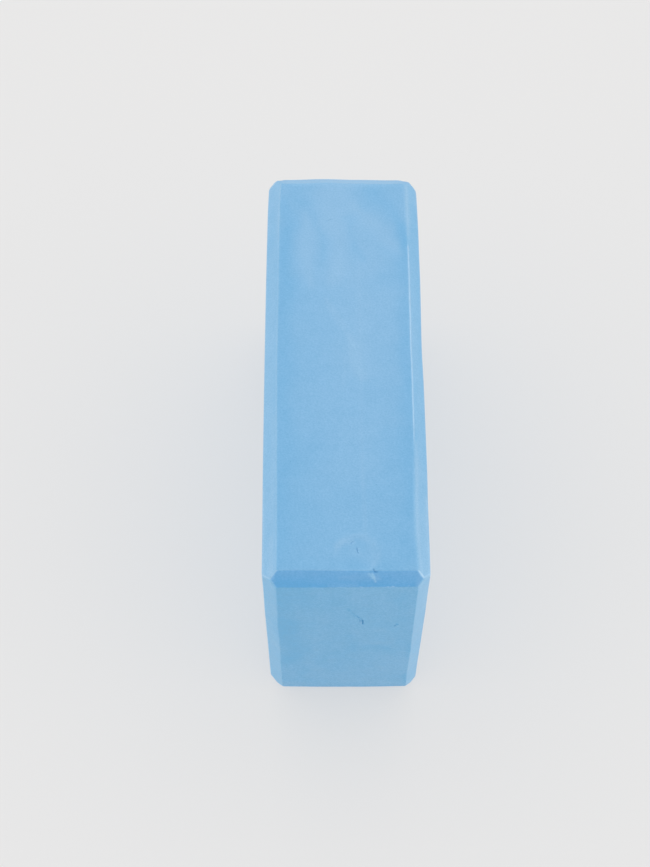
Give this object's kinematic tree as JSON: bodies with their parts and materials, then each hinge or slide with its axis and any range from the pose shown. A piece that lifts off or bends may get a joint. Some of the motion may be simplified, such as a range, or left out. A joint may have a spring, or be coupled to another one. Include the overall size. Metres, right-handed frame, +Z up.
{
  "type": "foam exercise block",
  "caption": "Rectangular closed-cell foam exercise block with 45-degree chamfered edges, held in the hand or stood on any face as a firm support.",
  "frame": {"origin": "middle of the long narrow face that the block stands on", "axes": "+X across the thickness, +Y along the length, +Z up the height"},
  "size_m": [0.0762, 0.2286, 0.1524],
  "materials": {
    "eva_foam": "matte"
  },
  "bodies": {
    "root": {"foam_block": "eva_foam"}
  },
  "joints": []
}
